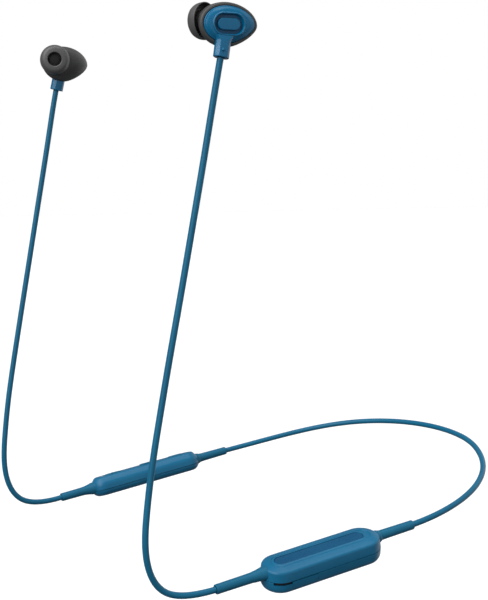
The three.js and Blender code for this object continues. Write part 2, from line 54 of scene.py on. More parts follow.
CORD_DIAMETER = 0.0022
LEFT_EAR_CORD = [
    (0.0708, -0.1453, 0.1462), (0.0707, -0.1464, 0.1403), (0.0707, -0.1484, 0.1298),
    (0.0706, -0.1513, 0.1137), (0.0704, -0.1543, 0.0980), (0.0702, -0.1573, 0.0820),
    (0.0699, -0.1603, 0.0662), (0.0695, -0.1634, 0.0501), (0.0693, -0.1663, 0.0344),
    (0.0690, -0.1692, 0.0183), (0.0687, -0.1712, 0.0027), (0.0684, -0.1726, -0.0143),
    (0.0681, -0.1656, -0.0292), (0.0690, -0.1508, -0.0279), (0.0693, -0.1467, -0.0273),
]
LOWER_TOP = [(0.0708, -0.14585, 0.14315), (0.0707, -0.1470, 0.1380)]  # under the right bud
RIGHT_EAR_CORD = [(-x, y, z) for x, y, z in [*LOWER_TOP, *LEFT_EAR_CORD[2:]]]
NECK_CORD = [
    (0.0704, -0.0672, -0.0159), (0.0701, -0.0609, -0.0150), (0.0687, -0.0493, -0.0130),
    (0.0627, -0.0318, -0.0088), (0.0513, -0.0179, -0.0046), (0.0354, -0.0081, -0.0016),
    (0.0186, -0.0013, -0.0003), (0.0, 0.0006, 0.0002), (-0.0186, -0.0013, -0.0003),
    (-0.0354, -0.0081, -0.0016), (-0.0513, -0.0179, -0.0046), (-0.0627, -0.0318, -0.0088),
    (-0.0687, -0.0493, -0.0130), (-0.0701, -0.0609, -0.0150), (-0.0704, -0.0672, -0.0159),
]

# ---------- the other driving dimensions, in millimetres, as in the CAD model ----------

BOX = {"centre": (69.85, -106.95, -21.6), "pitch": 8.16, "yaw": -0.79, "roll": 12, "sleeve_end": 40.15}
BATTERY = {"front": -22.2, "rear": 24.9, "widest": 7.1, "parting": -1.7}
REMOTE = {"front": -25.8, "rear": 25.3, "widest": 5.6, "parting": -1.5, "top": 3.9, "ceiling": 3.0}
SEAM = 0.12  # half the gap that shows between two shells
SEAM_LIP = 0.5  # how far a lower shell's inner lip rises past the parting, to keep light out
FLAP_SEAM = 0.08  # round the port's flap
SLEEVE = {"radius": 1.72, "hole": 1.15, "stub": 1.6}  # the stub reaches into the box
INLAY = {"y": 0.6, "half_length": 17.7, "half_width": 2.3, "top": 2.9, "thickness": 0.4, "seat": 2.2}
PORT = {"y": -9.3, "width": 7.5, "height": 2.7, "bottom": -4.9, "wall": 0.4, "face": 5.75}
DOOR = {"front": -14.3, "rear": -4.3, "bottom": -5.2, "top": -1.9, "inner": 6.05}
NOTCH = {"angle": -49.7, "depth": 1.0, "bottom": -2.45, "undercut": 0.5}
BUTTON = {"half_width": 1.7, "flange": 0.6, "flange_thickness": 0.6, "half_foot": 0.8,
          "foot_bottom": 1.45}
BUTTONS = {
    "volume_up": {"y": -15.1, "half_length": 3.6, "proud": 0.35},
    "play": {"y": 1.9, "half_length": 4.0, "proud": 0.55},
    "volume_down": {"y": 15.4, "half_length": 3.6, "proud": 0.35},
}
SIGNS = {  # raised bars, as half sizes
    "volume_up": [(0.15, 0.75), (0.75, 0.15)],
    "play": [(0.35, 0.35)],
    "volume_down": [(0.15, 0.75)],
}
LIGHT = {"y": -20.4, "radius": 0.6, "bottom": 1.5}

BUD = {"centre": (69.3, -142.6, 156.85), "yaw": -4, "right_drop": (0, -0.55, -3.05)}
EGG = {"front": 9.2, "rear": 11.0, "half": 7.1}
RING = {"half_length": 5.45, "half_width": 3.5, "y": 0.3, "lip": 2.6, "floor": 1.3}
PLATE = {"half_length": 3.85, "half_width": 1.85, "top": 2.35}
NOZZLE = {"origin": (0, -3.6, 1.25), "yaw": 116.3, "base": 3.3, "base_radius": 3.4, "radius": 2.1,
          "bore": 1.6, "lip": 2.4, "lip_at": 5.9, "end": 6.5, "hollow_to": 2.5,
          "hollow_radius": 2.3}
TIP = {"bore": 2.7, "radius": 6.02, "back": 3.8}
STEM = {"end": (1.69, -2.42, -10.6), "top": (0.94, -1.05, -3.3), "half_width": 2.5, "half_depth": 1.8,
        "bevel": 1.1, "flare_from": 0.7, "flare": 0.8}
BUSH_HOLE = {"radius": 1.45, "depth": 2.5}
DOT = {"radius": 0.5, "centre": (3.35, -2.4, -8.2)}

# ---------- camera and stage ----------

CAMERA = {"place": (0.43895, -0.3435, 0.1119), "azimuth": 60.68, "elevation": 5.845, "lens": 78.1}
FLOOR = {"level": -0.15, "half_size": 6}
WORLD = {"light": 0.12, "Is Glossy Ray": 0.2, "Is Camera Ray": 1}  # its strength for each kind of ray
SOFT_SUNS = {  # (direction towards it, strength, width in degrees)
    "key": ((0.1, -0.7, 0.75), 2.4, 50),
    "side": ((0.47, -0.84, 0.27), 1.15, 34),
    "top": ((0.1, 0.1, 1), 1.15, 44),
    "fill": ((1, 0.2, 0.1), 0.6, 70),
    "rim": ((-0.1, 1, 0.15), 1.1, 80),
}


def add_camera():
    """The photograph's view of the object."""
    data = bpy.data.cameras.new("camera")
    data.lens = CAMERA["lens"]
    data.clip_start = 0.01
    camera = bpy.data.objects.new("camera", data)
    camera.location = CAMERA["place"]
    camera.rotation_euler = (math.radians(90 - CAMERA["elevation"]), 0, math.radians(CAMERA["azimuth"]))
    bpy.context.scene.collection.objects.link(camera)
    bpy.context.scene.camera = camera


def add_soft_sun(name, towards, strength, spread):
    """A distant softbox: towards points from the object to it, spread is its width in degrees."""
    data = bpy.data.lights.new(name, "SUN")
    data.energy = strength
    data.angle = math.radians(spread)
    light = bpy.data.objects.new(name, data)
    light.rotation_euler = (-Vector(towards)).to_track_quat("-Z", "Y").to_euler()
    bpy.context.scene.collection.objects.link(light)


def add_world():
    """A white backdrop for the camera, which throws only a little light on the object."""
    scene = bpy.context.scene
    scene.view_settings.view_transform = "Standard"
    world = bpy.data.worlds.new("studio")
    scene.world = world
    world.use_nodes = True
    nodes, links = world.node_tree.nodes, world.node_tree.links
    light = nodes["Background"]
    light.inputs["Color"].default_value = (0.93, 0.96, 1.0, 1)
    light.inputs["Strength"].default_value = WORLD["light"]
    path = nodes.new("ShaderNodeLightPath")
    shader = light.outputs["Background"]
    for ray in ("Is Glossy Ray", "Is Camera Ray"):
        seen = nodes.new("ShaderNodeBackground")
        seen.inputs["Color"].default_value = (1, 1, 1, 1)
        seen.inputs["Strength"].default_value = WORLD[ray]
        mix = nodes.new("ShaderNodeMixShader")
        links.new(path.outputs[ray], mix.inputs["Fac"])
        links.new(shader, mix.inputs[1])
        links.new(seen.outputs["Background"], mix.inputs[2])
        shader = mix.outputs["Shader"]
    links.new(shader, nodes["World Output"].inputs["Surface"])


def add_floor():
    """A pale floor that takes shadows and throws no light back at the object."""
    size, level = FLOOR["half_size"], FLOOR["level"]
    mesh = bpy.data.meshes.new("floor")
    corners = [(-size, -size), (size, -size), (size, size), (-size, size)]
    mesh.from_pydata([(x, y, level) for x, y in corners], [], [(0, 1, 2, 3)])
    floor = bpy.data.objects.new("floor", mesh)
    bpy.context.scene.collection.objects.link(floor)
    pale = bpy.data.materials.new("pale_floor")
    pale.use_nodes = True
    shader = pale.node_tree.nodes["Principled BSDF"]
    shader.inputs["Base Color"].default_value = (0.93, 0.93, 0.93, 1)
    shader.inputs["Roughness"].default_value = 0.9
    mesh.materials.append(pale)
    floor.visible_diffuse = False
    floor.visible_glossy = False


# ---------- materials ----------

NOISE_LOW, NOISE_HIGH = 0.3, 0.7  # most of a noise texture's values lie between these
SMOOTHER, ROUGHER = -0.05, 0.07  # how the roughness varies over a surface
COAT_ROUGHNESS = 0.25
BUMP_DISTANCE = 0.000003


def plastic(name, dark, light, roughness, grain, bump, coat=0.0, blotch=60.0, specular=0.22):
    """A moulded plastic or rubber: slow tone changes, a fine grain in the roughness and the surface."""
    material = bpy.data.materials.new(name)
    material.use_nodes = True
    nodes, links = material.node_tree.nodes, material.node_tree.links
    shader = nodes["Principled BSDF"]
    shader.inputs["Specular IOR Level"].default_value = specular
    shader.inputs["Coat Weight"].default_value = coat
    shader.inputs["Coat Roughness"].default_value = COAT_ROUGHNESS
    place = nodes.new("ShaderNodeTexCoord")

    def noise(scale, detail):
        texture = nodes.new("ShaderNodeTexNoise")
        texture.inputs["Scale"].default_value = scale
        texture.inputs["Detail"].default_value = detail
        links.new(place.outputs["Object"], texture.inputs["Vector"])
        return texture.outputs["Fac"]

    tone = nodes.new("ShaderNodeValToRGB")
    ends = ((NOISE_LOW, dark), (NOISE_HIGH, light))
    for element, (position, colour) in zip(tone.color_ramp.elements, ends):
        element.position = position
        element.color = (*colour, 1)
    links.new(noise(blotch, 4), tone.inputs["Fac"])
    links.new(tone.outputs["Color"], shader.inputs["Base Color"])
    gloss = nodes.new("ShaderNodeMapRange")
    gloss.inputs["From Min"].default_value = NOISE_LOW
    gloss.inputs["From Max"].default_value = NOISE_HIGH
    gloss.inputs["To Min"].default_value = roughness + SMOOTHER
    gloss.inputs["To Max"].default_value = roughness + ROUGHER
    links.new(noise(grain * 0.5, 3), gloss.inputs["Value"])
    links.new(gloss.outputs["Result"], shader.inputs["Roughness"])
    surface = nodes.new("ShaderNodeBump")
    surface.inputs["Strength"].default_value = bump
    surface.inputs["Distance"].default_value = BUMP_DISTANCE
    links.new(noise(grain, 2), surface.inputs["Height"])
    links.new(surface.outputs["Normal"], shader.inputs["Normal"])
    return material


def metal(name, dark, light, roughness, grain):
    """The same surface, bare metal."""
    material = plastic(name, dark, light, roughness, grain, 0.2)
    material.node_tree.nodes["Principled BSDF"].inputs["Metallic"].default_value = 1
    return material


MATERIALS = {
    "shell_blue": plastic("shell_blue", (0.005, 0.112, 0.225), (0.007, 0.132, 0.255), 0.36, 5000, 0.35,
                          0.05),
    "sleeve_blue": plastic("sleeve_blue", (0.005, 0.102, 0.19), (0.007, 0.12, 0.215), 0.5, 6000, 0.4),
    "cord_blue": plastic("cord_blue", (0.004, 0.105, 0.20), (0.006, 0.125, 0.23), 0.42, 7000, 0.35),
    "cover_blue": plastic("cover_blue", (0.001, 0.118, 0.25), (0.002, 0.136, 0.28), 0.3, 5000, 0.3, 0.25,
                          specular=0.2),
    # inlay_blue is the battery inlay's own colour. It is also laid in the buds' grooves as painted shade.
    "inlay_blue": plastic("inlay_blue", (0.004, 0.065, 0.15), (0.006, 0.08, 0.175), 0.3, 4000, 0.2, 0.05),
    "dark_grey": plastic("dark_grey", (0.050, 0.050, 0.051), (0.064, 0.064, 0.065), 0.45, 6000, 0.5,
                         specular=0.35),
    "silicone": plastic("silicone", (0.070, 0.070, 0.070), (0.086, 0.086, 0.086), 0.45, 8000, 0.3,
                        specular=0.5),
    "board_green": plastic("board_green", (0.01, 0.06, 0.025), (0.015, 0.1, 0.04), 0.35, 900, 0.6, 0.3,
                           blotch=900),
    "steel": metal("steel", (0.50, 0.51, 0.53), (0.62, 0.63, 0.65), 0.3, 3000),
    "cell_silver": metal("cell_silver", (0.42, 0.43, 0.45), (0.52, 0.53, 0.55), 0.42, 1200),
    # chip_black also lines the battery's nail notch, as painted shade.
    "chip_black": plastic("chip_black", (0.008, 0.008, 0.009), (0.014, 0.014, 0.016), 0.5, 3000, 0.3),
    "lens": plastic("lens", (0.70, 0.74, 0.76), (0.80, 0.83, 0.85), 0.2, 2000, 0.1, 0.4),
}


# ---------- forms ----------

class Form:
    """Points and faces gathered ring by ring before they become one mesh."""

    def __init__(self):
        self.points = []
        self.faces = []

    def ring(self, points):
        first = len(self.points)
        self.points += [Vector(p) for p in points]
        return list(range(first, len(self.points)))

    def bridge(self, a, b, skip=()):
        for j in range(len(a)):
            if j not in skip:
                k = (j + 1) % len(a)
                self.faces.append((a[j], a[k], b[k], b[j]))

    def cap(self, ring):
        self.faces.append(tuple(ring))

    def fill(self, rings):
        """A flat face inside the first ring, with the other rings as holes."""
        index = [i for ring in rings for i in ring]
        loops = [[self.points[i] for i in ring] for ring in rings]
        self.faces += [tuple(index[i] for i in t) for t in tessellate_polygon(loops)]

    def loft(self, outlines, closed=False):
        """A skin over the outlines, capped at its ends unless it closes on itself."""
        rings = [self.ring(outline) for outline in outlines]
        for a, b in zip(rings, rings[1:]):
            self.bridge(a, b)
        if closed:
            self.bridge(rings[-1], rings[0])
        else:
            self.cap(rings[0])
            self.cap(rings[-1])
        return self

    def turn(self, place):
        self.points = [place @ p for p in self.points]
        return self


def as_object(form, name, place):
    """The form as an object in the scene, placed in millimetres and made in metres."""
    mesh = bpy.data.meshes.new(name)
    mesh.from_pydata([(place @ p) * MM for p in form.points], [], form.faces)
    obj = bpy.data.objects.new(name, mesh)
    bpy.context.scene.collection.objects.link(obj)
    tidy_mesh(mesh)
    return obj


def tidy_mesh(mesh):
    """Merges points that coincide and turns every face outwards."""
    bm = bmesh.new()
    bm.from_mesh(mesh)
    bmesh.ops.remove_doubles(bm, verts=bm.verts, dist=1e-7)
    bmesh.ops.recalc_face_normals(bm, faces=bm.faces)
    bm.to_mesh(mesh)
    bm.free()


def combine(obj, other, operation):
    """Joins other to obj or cuts it away, and removes other."""
    modifier = obj.modifiers.new(operation, "BOOLEAN")
    modifier.operation = operation
    modifier.solver = "EXACT"
    modifier.object = other
    graph = bpy.context.evaluated_depsgraph_get()
    mesh = bpy.data.meshes.new_from_object(obj.evaluated_get(graph))
    obj.modifiers.clear()
    obj.data = mesh
    mesh.name = obj.name
    bpy.data.objects.remove(other)


SHARP = 35  # degrees; a steeper edge between faces stays crisp


def dress(obj, material, body, nodes):
    """Gives a piece its finish, and stands it in for CAD nodes on their body."""
    mesh = obj.data
    mesh.materials.clear()
    mesh.materials.append(MATERIALS[material])
    mesh.shade_smooth()
    mesh.set_sharp_from_angle(angle=math.radians(SHARP))
    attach(obj, body)
    if nodes:
        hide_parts(*nodes)
    return obj


def rounded(corners, steps=5):
    """A profile from (x, y, setback) corners, each with a setback eased into a curve."""
    path = []
    for i, (x, y, setback) in enumerate(corners):
        p = Vector((x, y))
        if setback == 0:
            path.append(p)
            continue
        before = Vector(corners[i - 1][:2])
        after = Vector(corners[(i + 1) % len(corners)][:2])
        a = p + (before - p).normalized() * setback
        b = p + (after - p).normalized() * setback
        for t in np.linspace(0, 1, steps + 1):
            path.append(a * (1 - t) ** 2 + p * 2 * t * (1 - t) + b * t ** 2)
    return [tuple(p) for p in path]


def smooth(stations, steps=6):
    """A Catmull-Rom curve through stations of any dimension."""
    s = np.array([stations[0], *stations, stations[-1]], float)
    out = []
    for i in range(1, len(s) - 2):
        for t in np.linspace(0, 1, steps, endpoint=False):
            a = 2 * s[i]
            b = s[i + 1] - s[i - 1]
            c = 2 * s[i - 1] - 5 * s[i] + 4 * s[i + 1] - s[i + 2]
            d = 3 * s[i] - s[i - 1] - 3 * s[i + 1] + s[i + 2]
            out.append((a + b * t + c * t ** 2 + d * t ** 3) / 2)
    return [*out, s[-1]]


def rectangle(half_x, half_y, setback, steps):
    """A loop round a rectangle with eased corners."""
    return rounded([(half_x, half_y, setback), (-half_x, half_y, setback), (-half_x, -half_y, setback),
                    (half_x, -half_y, setback)], steps)


def full_turn(sides):
    """Angles evenly round a circle."""
    return np.linspace(0, 2 * math.pi, sides, endpoint=False)


def turned(profile, sides=96, closed=True):
    """A solid of revolution about +Y from (radius, height) points off the axis."""
    outlines = [[(radius * math.cos(a), y, radius * math.sin(a)) for a in full_turn(sides)]
                for radius, y in profile]
    return Form().loft(outlines, closed)


# ---------- places ----------

def rotation(degrees, axis):
    return Matrix.Rotation(math.radians(degrees), 4, axis)


MIRROR = Matrix.Diagonal((-1, 1, 1, 1))
box_left = (Matrix.Translation(BOX["centre"]) @ rotation(BOX["yaw"], "Z") @ rotation(BOX["pitch"], "X")
            @ rotation(BOX["roll"], "Y"))
box_right = MIRROR @ box_left
bud_left = Matrix.Translation(BUD["centre"]) @ rotation(BUD["yaw"], "Z")
bud_right = MIRROR @ Matrix.Translation(BUD["right_drop"]) @ bud_left


# ---------- cords ----------

def add_cord(name, points):
    """A cord of even thickness along its control points."""
    curve = bpy.data.curves.new(name, "CURVE")
    curve.dimensions = "3D"
    curve.bevel_depth = CORD_DIAMETER / 2
    curve.bevel_resolution = 6
    curve.use_fill_caps = True
    spline = curve.splines.new("NURBS")
    spline.points.add(len(points) - 1)
    for point, place in zip(spline.points, points):
        point.co = (*place, 1)
    spline.order_u = 4
    spline.use_endpoint_u = True
    spline.resolution_u = 14
    curve.materials.append(MATERIALS["cord_blue"])
    cord = bpy.data.objects.new(name + "_look", curve)
    bpy.context.scene.collection.objects.link(cord)
    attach(cord, "neckband")
    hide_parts(name)


add_camera()
add_cord("left_ear_cord", LEFT_EAR_CORD)
add_cord("right_ear_cord", RIGHT_EAR_CORD)
add_cord("neck_cord", NECK_CORD)
add_world()
add_floor()
for name, sun in SOFT_SUNS.items():
    add_soft_sun(name, *sun)


# ---------- boxes ----------

def stadium_path(front, rear, stops=(), turns=28, runs=14, arc_stops=()):
    """(y, angle) pairs round a stadium with its arcs about front and rear, from the outer side."""
    side = sorted({*np.linspace(front, rear, runs + 1), *stops})
    path = [(y, 0.0) for y in side]
    path += [(rear, a) for a in np.linspace(0, math.pi, turns + 1)[1:-1]]
    path += [(y, math.pi) for y in np.linspace(rear, front, runs + 1)]
    back = {*np.linspace(math.pi, 2 * math.pi, turns + 1)[1:-1], *arc_stops}
    return path + [(front, a) for a in sorted(back)]


def respaced(path, front, rear):
    """The same path round another stadium on the same axis."""
    ys = [y for y, _ in path]
    low, high = min(ys), max(ys)
    return [(front + (y - low) * (rear - front) / (high - low), a) for y, a in path]


def around(path, width, z):
    """One level of a stadium: the path's points, width away from its axis."""
    return [Vector((width * math.cos(a), y + width * math.sin(a), z)) for y, a in path]


def spine(box):
    """Where the arcs at a box's two ends are centred."""
    return box["front"] + box["widest"], box["rear"] - box["widest"]


def with_levels(profile, levels):
    """The profile with a point added wherever it crosses one of the levels."""
    out = [profile[0]]
    for a, b in zip(profile, profile[1:]):
        crossed = [z for z in levels if min(a[1], b[1]) < z < max(a[1], b[1])]
        for z in sorted(crossed, reverse=a[1] > b[1]):
            t = (z - a[1]) / (b[1] - a[1])
            out.append((a[0] + t * (b[0] - a[0]), z))
        out.append(b)
    return out


OUTER_SKIN = 6.5  # a point of the battery's lower section wider than this is on its outer face

# Each lower shell's section from its inner face round to its outer one, as (width, height, setback) corners.
BATTERY_LOWER = [(3.0, -5.4, 0), (4.9, -5.4, 0.6), (5.55, BATTERY["parting"] - 0.3, 0),
                 (5.55, BATTERY["parting"] + SEAM_LIP, 0), (5.82, BATTERY["parting"] + SEAM_LIP, 0),
                 (5.82, BATTERY["parting"] - SEAM, 0), (7.08, BATTERY["parting"] - SEAM, 0.12),
                 (6.97, -4.6, 0.9), (6.1, -6.02, 0.7), (4.9, -6.4, 0.6), (3.0, -6.4, 0)]
REMOTE_LOWER = [(2.6, -3.1, 0), (3.3, -3.1, 0.3), (4.3, REMOTE["parting"] - SEAM - 0.2, 0),
                (4.3, REMOTE["parting"] + SEAM_LIP, 0), (4.55, REMOTE["parting"] + SEAM_LIP, 0),
                (4.55, REMOTE["parting"] - SEAM, 0), (5.6, REMOTE["parting"] - SEAM, 0.08),
                (5.4, -2.5, 0.7), (4.2, -3.68, 0.7), (3.5, -4.0, 0.3), (2.6, -4.0, 0)]


def battery_top():
    """The upper shell, with the inlay's pocket in its top."""
    front, rear = spine(BATTERY)
    path = stadium_path(front, rear)
    straight = INLAY["half_length"] - INLAY["half_width"]
    pocket = respaced(path, INLAY["y"] - straight, INLAY["y"] + straight)
    wide = INLAY["half_width"] + 0.14
    rim = rounded([(wide, INLAY["seat"], 0), (wide, 3.02, 0.14), (wide + 0.5, 2.93, 0)])
    outer = rounded([(3.4, 2.87, 0.3), (6.55, 1.98, 0.75), (7.08, BATTERY["parting"] + SEAM, 0.12),
                     (5.95, BATTERY["parting"] + SEAM, 0), (5.6, 1.3, 0.4), (3.0, 1.3, 0)])
    outlines = [around(pocket, w, z) for w, z in rim] + [around(path, w, z) for w, z in outer]
    return Form().loft(outlines)


def battery_bottom():
    """The lower shell, with the port's window in its outer side and the nail notch before it."""
    front, rear = spine(BATTERY)
    sill = DOOR["bottom"] - FLAP_SEAM
    window = (DOOR["front"] - FLAP_SEAM, DOOR["rear"] + FLAP_SEAM)
    notch = 2 * math.pi + math.radians(NOTCH["angle"])
    path = stadium_path(front, rear, stops=window, arc_stops=(notch, notch - 0.01))
    profile = with_levels(rounded(BATTERY_LOWER), [sill, NOTCH["bottom"], NOTCH["bottom"] - 0.05])
    outer_from = next(i for i, (w, z) in enumerate(profile) if w > OUTER_SKIN)
    first, last = [i for i, (w, z) in enumerate(profile) if abs(z - sill) < 1e-6]
    outlines = []
    for i, (w, z) in enumerate(profile):
        dented = i >= outer_from and z >= NOTCH["bottom"] - 1e-6
        outline = []
        for y, a in path:
            inside = dented and (a >= notch or (a == 0 and y <= window[0]))
            width = w - NOTCH["depth"] if inside else w
            level = z - NOTCH["undercut"] if inside and z < NOTCH["bottom"] + 0.01 else z
            outline.append((width * math.cos(a), y + width * math.sin(a), level))
        outlines.append(outline)
    form = Form()
    rings = [form.ring(outline) for outline in outlines]
    start, end = (path.index((y, 0.0)) for y in window)
    for i, (a, b) in enumerate(zip(rings, rings[1:])):
        form.bridge(a, b, skip=range(start, end) if first <= i < last else ())
    for column in (start, end):
        form.cap([rings[i][column] for i in range(first, last + 1)])
    for j in range(start, end):
        form.faces.append((rings[first][j], rings[first][j + 1], rings[last][j + 1], rings[last][j]))
    form.cap(rings[0])
    form.cap(rings[-1])
    return form


def painted_notch_shade():
    """A black strip at the back of the nail notch: painted shade, standing in for the shadow inside the
    notch.
    """
    front, _ = spine(BATTERY)
    path = [(front, a) for a in np.linspace(math.radians(NOTCH["angle"]) + 0.02, 0, 14)]
    path += [(y, 0.0) for y in np.linspace(front, DOOR["front"] - 0.2, 4)[1:]]
    top, bottom = BATTERY["parting"] + SEAM - 0.02, NOTCH["bottom"] - 0.15
    section = [(6.12, top), (6.45, top), (6.5, top - 0.05), (6.5, bottom), (6.12, bottom)]
    return Form().loft([[(w * math.cos(a), y + w * math.sin(a), z) for w, z in section] for y, a in path])


def inlay():
    """The strip in the top's pocket, with a slight crown."""
    straight = INLAY["half_length"] - INLAY["half_width"]
    path = stadium_path(INLAY["y"] - straight, INLAY["y"] + straight)
    w, top, bottom = INLAY["half_width"], INLAY["top"], INLAY["top"] - INLAY["thickness"]
    section = rounded([(w - 0.6, bottom, 0), (w, bottom, 0.05), (w, top - 0.04, 0.12),
                       (w - 0.6, top + 0.02, 0.1), (0.4, top + 0.06, 0)])
    return Form().loft([around(path, *p) for p in section])


def port_door():
    """The flap over the port: a piece of the shell's skin, with a plug that fills the port's mouth."""
    sides = [p for p in with_levels(rounded(BATTERY_LOWER), [DOOR["bottom"], DOOR["top"]])
             if p[0] > OUTER_SKIN and DOOR["bottom"] - 1e-6 <= p[1] <= DOOR["top"] + 1e-6]
    inner = DOOR["inner"]
    section = [(inner, sides[0][1]), *sides, (inner, sides[-1][1])]
    centre = (inner + 0.4, (DOOR["top"] + DOOR["bottom"]) / 2)

    def outline(y, shrink):
        return [(centre[0] + (x - centre[0]) * (1 - 0.35 * shrink), y,
                 centre[1] + (z - centre[1]) * (1 - shrink)) for x, z in section]

    ease = [(0, 0.09), (0.05, 0.04), (0.14, 0.01), (0.25, 0)]
    ys = [(DOOR["front"] + d, s) for d, s in ease] + [(DOOR["rear"] - d, s) for d, s in reversed(ease)]
    form = Form().loft([outline(y, s) for y, s in ys])
    half_y = PORT["width"] / 2 - PORT["wall"] - 0.5
    half_z = PORT["height"] / 2 - PORT["wall"] - GAP
    middle = PORT["bottom"] + PORT["height"] / 2
    loop = rectangle(half_y, half_z, 0.4, 4)
    plug = [(PORT["face"] - 0.8, 0.8), (PORT["face"] - 0.72, 0.93), (PORT["face"] - 0.6, 1),
            (inner + 0.1, 1), (inner + 0.2, 1)]
    form.loft([[(x, PORT["y"] + u * k, middle + v * k) for u, v in loop] for x, k in plug])
    return form


def sleeve(box, end, stations):
    """A strain relief along the box's axis, from (distance, height, half width, half height) stations."""
    at = abs(box["front"] if end < 0 else box["rear"])
    reach, radius, hole = BOX["sleeve_end"], SLEEVE["radius"], SLEEVE["hole"]
    mouth = [(-0.25, hole), (-0.05, 1.2), (0, 1.3), (0, 1.5), (-0.07, 1.63), (-0.22, 1.7), (-0.5, radius)]
    lip = [(reach + d, 0, r, r) for d, r in mouth]
    flare = [(at + d, z, w, h) for d, z, w, h in stations]
    body = smooth([(reach - 0.5, 0, radius, radius), (reach - 3, 0, radius, radius), *flare,
                   (at - SLEEVE["stub"], *flare[-1][1:])])
    outlines = [[(wide * math.cos(a), end * d, z + high * math.sin(a)) for a in full_turn(48)]
                for d, z, wide, high in [*lip, *body[1:]]]
    return Form().loft(outlines)


# Where each sleeve widens to its box, as (distance past the box's end, height, half width, half height).
FLARES = {
    "battery_front": [(5.5, 0, 1.8, 1.8), (3.2, 0, 1.95, 1.95), (1.6, 0.05, 2.1, 2.1),
                      (0.6, 0.1, 2.3, 2.25), (-0.8, 0.1, 2.6, 2.4)],
    "battery_rear": [(1.8, 0, 1.85, 1.8), (0.8, -0.1, 2.1, 1.95), (0, -0.1, 2.6, 2.1),
                     (-0.8, -0.1, 2.8, 2.15)],
    "remote_front": [(4.6, 0, 1.8, 1.8), (2.8, 0, 2.0, 2.0), (1.4, 0, 2.3, 2.25), (0.4, 0, 2.6, 2.5),
                     (-0.8, -0.05, 2.9, 2.6)],
    "remote_rear": [(2.4, 0, 1.85, 1.85), (1.2, 0, 2.05, 2.05), (0.4, -0.05, 2.4, 2.3),
                    (-0.8, -0.1, 2.8, 2.5)],
}


def hole_path(y, half_length, half_width):
    """The path round a hole in the remote's top."""
    straight = half_length - half_width
    return stadium_path(y - straight, y + straight, turns=16, runs=6)


def remote_top():
    """The upper shell, with a hole for each button and one for the status light."""
    front, rear = spine(REMOTE)
    path = stadium_path(front, rear)
    top, ceiling, lip = REMOTE["top"], REMOTE["ceiling"], REMOTE["parting"] + SEAM
    profile = rounded([(2.85, top, 0), (3.45, top, 0.35), (4.05, 3.45, 0.4), (5.62, 1.3, 1.2),
                       (5.6, lip, 0.12), (4.7, lip, 0), (4.6, 1.1, 0.4), (2.9, ceiling, 0.3),
                       (2.6, ceiling, 0)], 8)
    form = Form()
    rings = [form.ring(around(path, w, z)) for w, z in profile]
    for a, b in zip(rings, rings[1:]):
        form.bridge(a, b)
    holes = [(hole_path(b["y"], b["half_length"], BUTTON["half_width"]), BUTTON["half_width"])
             for b in BUTTONS.values()]
    holes.append((hole_path(LIGHT["y"], LIGHT["radius"] + 0.01, LIGHT["radius"]), LIGHT["radius"]))
    above, below = [], []
    for hole, width in holes:
        walls = [form.ring(around(hole, width + grow, z)) for grow, z in
                 ((0.27, top), (0.17, top - 0.03), (0.14, top - 0.12), (0.14, ceiling))]
        for a, b in zip(walls, walls[1:]):
            form.bridge(a, b)
        above.append(walls[0])
        below.append(walls[-1])
    form.fill([rings[0], *above])
    form.fill([rings[-1], *below])
    return form


def remote_bottom():
    """The remote's lower shell, a plain tray."""
    path = stadium_path(*spine(REMOTE))
    return Form().loft([around(path, w, z) for w, z in rounded(REMOTE_LOWER)])


def button(name, y, half_length, proud):
    """A cap with a flange under the top wall, a foot over its switch and a raised sign."""
    w, flange = BUTTON["half_width"], BUTTON["flange"]
    top = REMOTE["top"] + proud
    under = REMOTE["ceiling"] - GAP
    base = under - BUTTON["flange_thickness"]
    path = hole_path(y, half_length, w)
    section = rounded([(w - 0.5, base, 0), (w + flange, base, 0.05), (w + flange, under, 0.05),
                       (w, under, 0), (w, top - 0.06, 0.3), (w - 0.8, top, 0.25), (0.3, top, 0)])
    form = Form().loft([around(path, *p) for p in section])
    foot = rectangle(BUTTON["half_foot"], BUTTON["half_foot"], 0.1, 3)
    form.loft([[(u, y + v, z) for u, v in foot] for z in (BUTTON["foot_bottom"], under - 0.4)])
    for half_x, half_y in SIGNS[name]:
        bar = rectangle(half_x, half_y, 0.1, 3)
        form.loft([[(u * k, y + v * k, z) for u, v in bar] for z, k in
                   ((top - 0.1, 1), (top + 0.06, 1), (top + 0.1, 0.8))])
    return form


def status_light():
    """The small lens at the front of the remote's top."""
    r, top = LIGHT["radius"], REMOTE["top"]
    section = [(r, LIGHT["bottom"]), (r, top - 0.1), (r - 0.06, top - 0.03), (r - 0.3, top), (0.1, top)]
    return Form().loft([[(w * math.cos(a), LIGHT["y"] + w * math.sin(a), z) for a in full_turn(32)]
                        for w, z in section])


